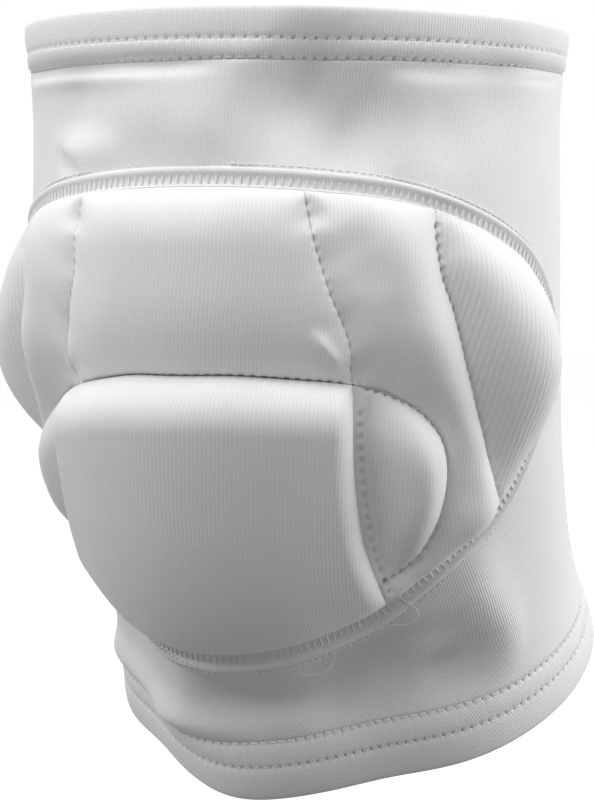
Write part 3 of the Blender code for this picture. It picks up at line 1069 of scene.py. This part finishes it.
@dataclass
class QuiltedPanel(Maker):
    """The panel of eight foam pads under one cover, sewn down along its seam lines."""

    seam_width: float = 0.0042
    seat: float = 0.0003
    half_gap: float = 0.00003
    crowding_across: float = 0.50
    crowding_up: float = 0.40
    hole_pitch: float = 0.0024
    hole_depth: float = 0.0011
    hole_spread: float = 0.00065
    # Height share, share by which the left half is drawn to the front there
    left_draws: tuple[tuple[float, float], ...] = (
        (0.200, 0.00), (0.240, 0.06), (0.290, 0.17), (0.350, 0.25), (0.420, 0.28),
        (0.480, 0.27), (0.530, 0.24), (0.600, 0.18), (0.700, 0.11), (0.800, 0.05),
    )
    # Angle from which the draw fades, angle over which it does
    left_fades: tuple[tuple[float, float], ...] = ((36.0, 16.0), (66.0, 30.0))
    left_draw_inside: float = 0.018
    stitch: Triple = (0.0016, 0.00045, 0.0004)
    stitch_sink: float = 0.35
    knee_row_shift: float = 0.0022
    least_width: float = 0.0006
    below_lobe_reach: float = 0.004
    reach_steps: int = 4001
    floor_fall: float = 3.5
    # Points without holes at the start and end of the upper, kneecap, lobe, strip and crease lines, and the
    # share of their depth that the holes have
    bare_ends: tuple[tuple[int, int, float], ...] = (
        (4, 14, 0.5), (14, 12, 1.0), (4, 4, 1.0), (8, 10, 1.0), (2, 2, 1.0),
    )
    folds: tuple[Fold, ...] = ()
    holes: list[tuple[float, Places, Places, Places]] = field(default_factory=list)

    edge_spots: tuple[Spot, ...] = spots(
        (0.165, 0.0), (0.168, 16.0), (0.178, 30.0), (0.200, 44.0), (0.232, 54.0),
        (0.262, 63.0), (0.288, 72.0), (0.318, 79.0), (0.355, 85.0), (0.400, 91.0),
        (0.460, 96.5), (0.520, 98.0), (0.570, 95.0), (0.620, 89.0), (0.665, 81.5),
        (0.710, 70.0), (0.745, 58.0), (0.772, 45.0), (0.790, 27.0), (0.800, 0.0),
    )
    knee_spots: tuple[Spot, ...] = spots(
        (0.200, 45.5), (0.255, 42.5), (0.310, 39.8), (0.360, 38.4), (0.440, 36.8),
        (0.520, 36.0),
    )
    lobe_spots: tuple[Spot, ...] = spots(
        (0.252, 43.0), (0.290, 52.6), (0.335, 56.8), (0.385, 58.2), (0.430, 56.8),
        (0.468, 52.4), (0.498, 45.0), (0.520, 36.0),
    )
    upper_spots: tuple[Spot, ...] = spots(
        (0.520, 36.0), (0.575, 34.0), (0.640, 29.0), (0.700, 25.5), (0.790, 22.5),
    )
    strip_spots: tuple[Spot, ...] = spots(
        (0.300, 76.0), (0.345, 72.4), (0.385, 69.8), (0.463, 65.0), (0.520, 61.6),
        (0.600, 56.7), (0.655, 52.8), (0.700, 51.2), (0.760, 50.6),
    )
    crease_spots: tuple[Spot, ...] = spots(
        (0.543, 0.0), (0.542, 12.0), (0.535, 22.0), (0.527, 30.0), (0.520, 36.0),
    )
    # Height share, angle, height of the sewn-down cover over the sleeve
    floors: tuple[tuple[float, float, float], ...] = (
        (0.790, 22.5, 0.0011), (0.752, 24.0, 0.0050), (0.700, 25.5, 0.0070), (0.640, 29.0, 0.0075),
        (0.575, 34.0, 0.0068), (0.520, 36.0, 0.0040), (0.543, 0.0, 0.0034), (0.542, 12.0, 0.0034),
        (0.535, 22.0, 0.0034), (0.527, 30.0, 0.0036), (0.440, 38.0, 0.0042), (0.360, 39.6, 0.0042),
        (0.310, 41.0, 0.0038), (0.255, 43.5, 0.0026), (0.200, 45.5, 0.0011), (0.498, 45.0, 0.0034),
        (0.468, 53.0, 0.0030), (0.430, 57.5, 0.0030), (0.385, 59.0, 0.0030), (0.335, 57.5, 0.0030),
        (0.290, 53.5, 0.0026), (0.760, 52.5, 0.0011), (0.700, 53.0, 0.0022), (0.655, 54.5, 0.0026),
        (0.600, 57.0, 0.0027), (0.520, 62.0, 0.0026), (0.463, 65.5, 0.0024), (0.385, 71.0, 0.0020),
        (0.345, 73.0, 0.0016), (0.300, 76.0, 0.0011),
    )
    edge_floor: float = 0.0011

    def __post_init__(self) -> None:
        """Lays the panel's outline and seam lines."""
        self.outline = PanelOutline(self.leg, self.edge_spots, self.seam_width + self.half_gap)
        self.knee = SeamLine(self.leg, self.knee_spots)
        self.knee_row = SeamLine(self.leg, self.knee_spots, self.knee_row_shift)
        self.lobe = SeamLine(self.leg, self.lobe_spots)
        self.upper = SeamLine(self.leg, self.upper_spots)
        self.strip = SeamLine(self.leg, self.strip_spots)
        self.crease = SeamLine(self.leg, self.crease_spots)
        edge = ((spot.height, spot.angle, self.edge_floor) for spot in self.edge_spots)
        heights, angles, self.floor_heights = np.array([*self.floors, *edge]).T
        self.floor_places = self.leg.flat(heights, angles)

    def sided(self, heights: Places, angles: Places, sign: float | Places) -> Places:
        """Gives right-half angles to a side; on the left, the middle of the panel is drawn to the front."""
        plain = np.abs(angles)
        faded = sum(ease((plain - start) / over) for start, over in self.left_fades)
        near = 1 - faded / len(self.left_fades)
        inside = ease(distance_to(self.outline.flat, self.leg.flat(heights, plain)) / self.left_draw_inside)
        known, draws = np.array(self.left_draws).T
        drawn = 1 - smooth(known, draws, np.clip(heights, known[0], known[-1])) * near * inside
        signed = sign * angles
        return np.where(signed < 0, signed * drawn, signed)

    def floor(self, flat: Places) -> Places:
        """Height of the sewn-down cover, as its nearest known heights give it."""
        distance = np.linalg.norm(flat[:, None, :] - self.floor_places[None], axis=-1) + SAME_PLACE
        weight = distance**-self.floor_fall
        return (weight * self.floor_heights).sum(axis=1) / weight.sum(axis=1)

    def lips(self, places: tuple[Spot, ...]) -> tuple[SeamLine, SeamLine]:
        """A seam line moved by half a gap to its left, and to its right."""
        return SeamLine(self.leg, places, -self.half_gap), SeamLine(self.leg, places, self.half_gap)

    def pad_height(self, form: PadForm, borders: tuple[Border, ...], flat: Places, up: Places) -> Places:
        """Finds how high a pad's face stands over the sleeve.

        Args:
            form: The pad.
            borders: Its sides.
            flat: Flat places on the right half.
            up: The share up of each place.

        Returns:
            One height for each place.
        """
        floor = self.floor(flat)
        share = np.ones(len(flat))
        for border in borders:
            share *= rounded(distance_to(border.line, flat) - border.foot, border.length, border.rise)
        full = form.thickness * (form.foot_share + (1 - form.foot_share) * up)
        return floor + (full - floor) * share

    def even_rows(self, cell: Cell, low: float, high: float) -> Field:
        """Spaces rows evenly along the longer side line of a cell.

        Args:
            cell: The cell.
            low: Its lowest height.
            high: Its highest height.

        Returns:
            What turns an even share up into a height share.
        """
        heights = np.linspace(low, high, LINE_STEPS)
        reached = []
        for side in (cell.left, cell.right):
            reached.append(lengths_along(self.leg.flat(heights, side(heights))))
        longer = max(reached, key=lambda lengths: lengths[-1])
        return lambda up: np.interp(up, longer / longer[-1], (heights - low) / (high - low))

    def pad(
        self, form: PadForm, side: Side, cell: Cell, borders: tuple[Border, ...], finish: Material,
    ) -> Piece:
        """Builds a pad.

        Args:
            form: The pad.
            side: Its half of the panel.
            cell: The part of the panel that it fills, on the right half or across the front.
            borders: Its sides, on the right half.
            finish: Its material.

        Returns:
            The pad.
        """
        patch, across, up, face = self.closed_patch(form.columns, form.rows)
        middle = (cell.left(0.5) + cell.right(0.5)) / 2
        across = crowded(across, self.crowding_across)
        low, high = float(cell.foot(middle)), float(cell.top(middle))
        up = self.even_rows(cell, low, high)(crowded(up, self.crowding_up))
        heights = np.full(len(up), (low + high) / 2)
        for _ in range(SETTLING_STEPS):
            angles = cell.left(heights) + (cell.right(heights) - cell.left(heights)) * across
            heights = cell.foot(angles) + (cell.top(angles) - cell.foot(angles)) * up
        flat = self.leg.flat(heights, np.abs(angles))
        outward = np.zeros(len(heights))
        outward[face] = self.pad_height(form, borders, flat[face], up[face])
        outward[face] -= self.sunk(flat[face])
        sign = -1.0 if side is Side.LEFT else 1.0
        turned = self.sided(heights, angles, sign)
        flat = self.leg.flat(heights, turned)
        outward[face] += sum((fold.lift(self.leg, flat[face]) for fold in self.folds), np.zeros(face.sum()))
        self.shape(patch, self.leg.points(heights, turned, self.seat + outward), flat)
        if side is Side.LEFT:
            self.turn_round(patch)
        node = form.name if side is Side.CENTRE else f"{form.name}_{side.name.lower()}"
        piece = self.finish(patch, f"{node}_cover", finish, Slot.COVER)
        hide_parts(node)
        return piece

    def sew_lines(self) -> None:
        """Sets out the needle holes along the quilting lines."""
        lines = (self.upper, self.knee_row, self.lobe, self.strip, self.crease)
        for line, (first, last, share) in zip(lines, self.bare_ends, strict=True):
            row = self.row_along(line.flat[first:-last], self.hole_pitch, 0.0)
            self.holes.append((share * self.hole_depth, *row))

    def sunk(self, flat: Places) -> Places:
        """How far the needle holes draw the cover down at flat places on the right half."""
        sunk = np.zeros(len(flat))
        for depth, heights, angles, _ in self.holes:
            holes = self.leg.flat(heights, angles)
            distance = np.linalg.norm(flat[:, None, :] - holes[None], axis=-1).min(axis=1)
            sunk += depth * bell(distance, self.hole_spread)
        return sunk

    def cell_between(self, left: Field, right: Field) -> Cell:
        """Finds the cell between two lines, from where they part to where they meet.

        Args:
            left: Its left line.
            right: Its right line.

        Returns:
            The cell, with a level foot and a level top.
        """
        heights = np.linspace(0.0, 1.0, self.reach_steps)
        wide = heights[right(heights) - left(heights) > math.degrees(self.least_width / self.leg.radius)]
        low, high = float(wide[0]), float(wide[-1])
        return Cell(left, right, lambda a: np.full(np.shape(a), low), lambda a: np.full(np.shape(a), high))

    def build(self, finish: KnitFinish, side_finish: KnitFinish, thread: ThreadFinish) -> list[Piece]:
        """Builds the eight pads and their quilting stitches.

        Args:
            finish: The cover's knit.
            side_finish: The coarser knit over the side pads.
            thread: The quilting thread.

        Returns:
            The pieces.
        """
        self.sew_lines()
        cover, ribbed = finish.material(), side_finish.material()
        outline = self.outline
        crease_above, crease_below = self.lips(self.crease_spots)
        knee_in, knee_out = self.lips(self.knee_spots)
        lobe_in, lobe_out = self.lips(self.lobe_spots)
        upper_in, upper_out = self.lips(self.upper_spots)
        strip_in, strip_out = self.lips(self.strip_spots)

        def strip_left(heights: Places) -> Places:
            """Left line of the strip: the knee line, then the lobe's, then the upper pad's."""
            knee = knee_out.angle_at(heights, above=0.0)
            lobe = lobe_out.angle_at(heights, below=0.0, above=0.0)
            return np.maximum(np.maximum(knee, lobe), upper_out.angle_at(heights, below=0.0))

        def strip_right(heights: Places) -> Places:
            """Right line of the strip: its own seam line, and below that the outline."""
            return np.minimum(strip_in.angle_at(heights), outline.lower_angle_at(heights))

        def centred(line: SeamLine, foot: Field, top: Field) -> Cell:
            """A cell across the front, as wide on the left as a line is on the right."""
            return Cell(lambda h: -line.angle_at(h), line.angle_at, foot, top)

        strip_cell = replace(self.cell_between(strip_left, strip_right), top=outline.top_at)
        below_lobe = self.knee.flat[self.knee.heights < self.lobe_spots[0].height + self.below_lobe_reach]
        # Each pad: its cell, the sides that round it, by line, length, rise and flat foot, and its material
        centre_pads = (
            (UPPER_PAD, centred(upper_in, crease_above.height_at, outline.top_at), (
                Border(self.upper.flat, 0.016), Border(self.crease.flat, 0.018), Border(outline.flat, 0.012),
            ), cover),
            (KNEE_PAD, centred(knee_in, outline.foot_at, crease_below.height_at), (
                Border(self.knee.flat, 0.0055), Border(self.crease.flat, 0.010), Border(outline.lower, 0.030),
            ), cover),
        )
        side_pads = (
            (STRIP_PAD, strip_cell, (
                Border(self.upper.flat, 0.024, 1.0), Border(self.lobe.flat, 0.016, 1.0),
                Border(below_lobe, 0.008), Border(self.strip.flat, 0.014, 1.0),
                Border(outline.upper, 0.022), Border(outline.lower, 0.008),
            ), cover),
            (SIDE_PAD, self.cell_between(strip_out.angle_at, outline.angle_at), (
                Border(self.strip.flat, 0.019, 1.0), Border(outline.upper, 0.024, 1.0),
                Border(outline.lower, 0.024, 1.0),
            ), ribbed),
            (LOBE_PAD, self.cell_between(knee_out.angle_at, lobe_in.angle_at), (
                Border(self.knee_row.flat, 0.013, 1.0, self.knee_row_shift),
                Border(self.lobe.flat, 0.0115, 0.9),
            ), cover),
        )
        pieces = []
        for side, pads in ((Side.CENTRE, centre_pads), (Side.LEFT, side_pads), (Side.RIGHT, side_pads)):
            pieces += [self.pad(form, side, *rest) for form, *rest in pads]
        return [*pieces, self.sew(thread)]

    def sew(self, thread: ThreadFinish) -> Piece:
        """Builds the stitches between the needle holes."""
        rows = []
        for _, heights, angles, leans in self.holes:
            places = self.leg.flat(heights, angles)
            middles = (places[1:] + places[:-1]) / 2
            heights, angles = self.leg.spread(middles)
            outward = self.floor(middles) + self.seat - self.hole_depth * self.stitch_sink
            for sign in (1.0, -1.0):
                turned = self.sided(heights, angles, sign)
                rows.append(self.stitches(heights, turned, outward, sign * leans[:-1], self.stitch))
        return self.finish(self.joined(rows), "quilting_stitches", thread.material(), Slot.THREAD)


@dataclass
class CoverSeam(Maker):
    """The flat band that joins the panel to the sleeve, with its ladder of threads."""

    panel: QuiltedPanel | None = None
    width: float = 0.0042
    seat: float = 0.0003
    thickness: float = 0.0011
    segments: int = 720
    loop_pitch: float = 0.0019
    bar: Triple = (0.0027, 0.00072, 0.00064)
    bar_place: float = 0.66
    bar_height: float = 0.44
    loop: Triple = (0.0014, 0.00060, 0.00050)
    loop_reach: float = 0.0006
    loop_height: float = 0.00005
    # Share across from the outer edge, share of the thickness
    section: tuple[tuple[float, float], ...] = (
        (0.00, 0.25), (0.03, 0.70), (0.10, 0.95), (0.20, 1.00), (0.30, 0.90), (0.38, 0.40), (0.60, 0.20),
        (0.85, 0.34), (0.95, 0.80), (1.00, 0.92), (1.00, 0.00), (0.50, 0.00), (0.00, 0.00),
    )

    def outline_at(self, inset: float) -> PanelOutline:
        """The panel's outline moved inwards by a distance."""
        return PanelOutline(self.leg, self.panel.edge_spots, inset)

    def build(self, finish: KnitFinish, thread: ThreadFinish) -> list[Piece]:
        """Builds the band and its threads.

        Args:
            finish: The band's knit.
            thread: Its thread.

        Returns:
            The band and its threads.
        """
        section = np.array(self.section)
        ring, around, station = self.closed_ring(self.segments, len(section))
        heights, angles = np.zeros((2, len(around)))
        for number, share in enumerate(section[:, 0]):
            here = station == number
            heights[here], angles[here] = self.outline_at(self.width * share).round_trip(around[here])
        outward = self.seat + self.thickness * section[station, 1]
        flat = self.leg.flat(heights, angles)
        self.shape(ring, self.leg.points(heights, angles, outward), flat)
        band = self.finish(ring, "cover_seam_band", finish.material(), Slot.THREAD)
        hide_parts("cover_seam")
        return [band, self.sew(thread)]

    def sew(self, thread: ThreadFinish) -> Piece:
        """Builds the ladder of bars across the band and the loops along its outer edge."""
        threads = (
            (self.width * self.bar_place, self.thickness * self.bar_height, math.pi / 2, self.bar),
            (-self.loop_reach, self.loop_height, 0.0, self.loop),
        )
        rows = []
        for sign in (1.0, -1.0):
            for inset, height, turn, size in threads:
                heights, angles, leans = self.row_along(self.outline_at(inset).flat, self.loop_pitch)
                outward = np.full(len(heights), self.seat + height)
                rows.append(self.stitches(heights, sign * angles, outward, sign * (leans + turn), size))
        return self.finish(self.joined(rows), "cover_seam_threads", thread.material(), Slot.THREAD)


@dataclass
class StrayThreads(Maker):
    """Loose ends of the seam thread that lie on the cloth, and a zigzag of it at the panel's lower edge."""

    # Height share, angle and height over the sleeve of each bend
    ends: tuple[tuple[Triple, ...], ...] = (
        (
            (0.184, 29.4, 0.0010), (0.174, 30.0, 0.0021), (0.160, 28.4, 0.0024), (0.154, 25.0, 0.0016),
            (0.155, 20.5, 0.0004),
        ),
        (
            (0.228, 48.2, 0.0012), (0.216, 50.4, 0.0024), (0.204, 50.6, 0.0022), (0.196, 48.4, 0.0014),
            (0.196, 44.6, 0.0004),
        ),
    )
    zigzag: tuple[Triple, ...] = (
        (0.190, -27.0, 0.0013), (0.178, -17.0, 0.0013), (0.172, -8.0, 0.0013), (0.170, 0.0, 0.0013),
    )
    step: float = 0.0004
    strand: Triple = (0.0010, 0.00030, 0.00030)
    zigzag_step: float = 0.0009
    zigzag_lean: float = 0.75
    zigzag_strand: Triple = (0.0015, 0.00036, 0.00034)

    def lay(self, bends: tuple[Triple, ...], step: float) -> tuple[Places, Places, Places, Places]:
        """Spaces short strands along a bent thread.

        Args:
            bends: The bends of the thread.
            step: From one strand to the next.

        Returns:
            The heights, angles, leans and heights over the sleeve of the strands.
        """
        known = np.array(bends)
        flat = self.leg.flat(known[:, 0], known[:, 1])
        share = np.linspace(0.0, 1.0, len(known))
        even = np.linspace(0.0, 1.0, LINE_STEPS)
        line = np.stack([smooth(share, flat[:, axis], even) for axis in range(2)], axis=1)
        heights, angles, leans = self.row_along(line, step)
        return heights, angles, leans, smooth(share, known[:, 2], np.linspace(0.0, 1.0, len(heights)))

    def build(self, thread: ThreadFinish) -> Piece:
        """Builds the stray threads."""
        rows = []
        for bends in self.ends:
            heights, angles, leans, outward = self.lay(bends, self.step)
            rows.append(self.stitches(heights, angles, outward, leans, self.strand))
        heights, angles, leans, outward = self.lay(self.zigzag, self.zigzag_step)
        leans = leans + self.zigzag_lean * np.where(np.arange(len(leans)) % 2 == 0, 1.0, -1.0)
        rows.append(self.stitches(heights, angles, outward, leans, self.zigzag_strand))
        return self.finish(self.joined(rows), "stray_threads", thread.material(), Slot.THREAD)


@dataclass(frozen=True)
class Softbox:
    """A soft square light: its direction from the knee, its power, its distance and its side."""

    name: str
    azimuth: float
    elevation: float
    power: float
    distance: float = 0.8
    side: float = 0.6


@dataclass(frozen=True)
class Studio:
    """A pale floor, soft light and the camera at the photograph's angle."""

    azimuth: float = 24.78
    elevation: float = 2.27
    distance: float = 0.900
    aim_right: float = -0.00228
    aim_up: float = -0.01150
    focal_pixels: float = 3482.8
    long_side_pixels: float = 800.0
    sensor: float = 36.0
    clip_start: float = 0.01
    floor_side: float = 8.0
    floor_colour: Triple = (0.30, 0.30, 0.30)
    floor_glow: float = 0.90
    floor_cloud_scale: float = 3.0
    floor_cloud_tone: float = 0.985
    floor_roughness: float = 0.9
    backdrop: float = 1.0
    ambient: float = 0.26
    lights: tuple[Softbox, ...] = (
        Softbox("right_softbox", 118.0, 12.0, 4.6),
        Softbox("front_right_softbox", 58.0, 38.0, 0.8),
        Softbox("back_softbox", 155.0, 10.0, 0.9),
        Softbox("top_softbox", 25.0, 80.0, 3.7),
        Softbox("upper_left_softbox", -14.0, 42.0, 3.4),
        Softbox("left_softbox", -80.0, 10.0, 2.3),
        Softbox("far_left_softbox", -140.0, 15.0, 1.2),
    )

    @staticmethod
    def away(azimuth: float, elevation: float) -> Vector:
        """Direction from the knee towards an azimuth, 0 at the front, and an elevation."""
        turn, rise = math.radians(azimuth), math.radians(elevation)
        return Vector((math.sin(turn) * math.cos(rise), -math.cos(turn) * math.cos(rise), math.sin(rise)))

    def build(self, low: float) -> None:
        """Sets up the floor, the light and the camera.

        Args:
            low: Height of the floor.
        """
        self.lay_floor(low)
        self.light_backdrop()
        for light in self.lights:
            self.hang(light)
        self.set_camera()
        bpy.context.scene.view_settings.view_transform = "Standard"

    def lay_floor(self, low: float) -> None:
        """Lays the pale floor at a height."""
        bpy.ops.object.select_all(action="DESELECT")
        bpy.ops.mesh.primitive_plane_add(size=self.floor_side, location=(0.0, 0.0, low))
        floor = bpy.context.object
        floor.name = "floor"
        material, sheet = new_material("pale_floor")
        cloud = sheet.noise(sheet.place(), self.floor_cloud_scale)
        low_tone = tuple(self.floor_cloud_tone * part for part in self.floor_colour)
        sheet.surface({
            "Base Color": sheet.tint(cloud, low_tone, self.floor_colour), "Roughness": self.floor_roughness,
            "Emission Color": WHITE, "Emission Strength": self.floor_glow,
        })
        floor.data.materials.append(material)
        floor.visible_diffuse = False
        floor.visible_glossy = False
        floor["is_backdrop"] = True

    def light_backdrop(self) -> None:
        """Surrounds the scene with white, of which only a part falls on the knee pad."""
        world = bpy.data.worlds.new("white_backdrop")
        world.use_nodes = True
        bpy.context.scene.world = world
        sheet = NodeSheet(world.node_tree)
        seen = Wire(sheet, sheet.node("ShaderNodeLightPath").outputs["Is Camera Ray"])
        strength = seen * (self.backdrop - self.ambient) + self.ambient
        white = sheet.node("ShaderNodeBackground", {}, {"Color": WHITE, "Strength": strength})
        sheet.node("ShaderNodeOutputWorld", {}, {"Surface": white.outputs[0]})

    def hang(self, light: Softbox) -> None:
        """Hangs a soft light that shines at the knee."""
        away = self.away(light.azimuth, light.elevation)
        bpy.ops.object.light_add(type="AREA", location=away * light.distance)
        lamp = bpy.context.object
        lamp.name = light.name
        lamp.rotation_euler = away.to_track_quat("Z", "Y").to_euler()
        lamp.data.shape = "SQUARE"
        lamp.data.size = light.side
        lamp.data.energy = light.power

    def set_camera(self) -> None:
        """Sets the camera at the photograph's angle and distance."""
        back = self.away(self.azimuth, self.elevation)
        turn = back.to_track_quat("Z", "Y")
        aim = turn @ Vector((self.aim_right, self.aim_up, 0.0))
        bpy.ops.object.camera_add(location=aim + back * self.distance)
        camera = bpy.context.object
        camera.name = "camera"
        camera.rotation_euler = turn.to_euler()
        camera.data.sensor_width = self.sensor
        camera.data.lens = self.focal_pixels / self.long_side_pixels * self.sensor
        camera.data.clip_start = self.clip_start
        bpy.context.scene.camera = camera


def main() -> None:
    """Builds the knee pad, piece by piece, and its studio."""
    logging.basicConfig(level=logging.INFO, format="%(message)s")
    leg = LegForm()
    knit = KnitFinish("white_sleeve_knit", slant=0.5, relief=0.00006, specks=1.6)
    hem_knit = KnitFinish("white_hem_knit", slant=0.5, relief=0.00006, specks=1.6)
    cover_knit = KnitFinish("white_cover_knit", column=0.00085, relief=0.00003)
    side_knit = KnitFinish("white_ribbed_knit", column=0.0012, row=0.0008, relief=0.00008)
    band_knit = KnitFinish("white_band_knit", column=0.0005, row=0.0005)
    thread = ThreadFinish("white_seam_thread")
    sleeve = Sleeve(leg, folds=SLEEVE_FOLDS)
    sleeve.build(knit)
    Hem(leg, name="top_hem", lift=sleeve.lift).build(hem_knit, thread)
    Hem(
        leg, name="bottom_hem", top=False, rows_at=(0.0063, 0.0108), rim_reach=0.0009, lift=sleeve.lift,
    ).build(hem_knit, thread)
    panel = QuiltedPanel(leg, folds=COVER_FOLDS)
    panel.build(cover_knit, side_knit, thread)
    CoverSeam(leg, panel=panel).build(band_knit, thread)
    StrayThreads(leg).build(thread)
    low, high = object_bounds()
    Studio().build(low.z)


if __name__ == "__main__":
    main()
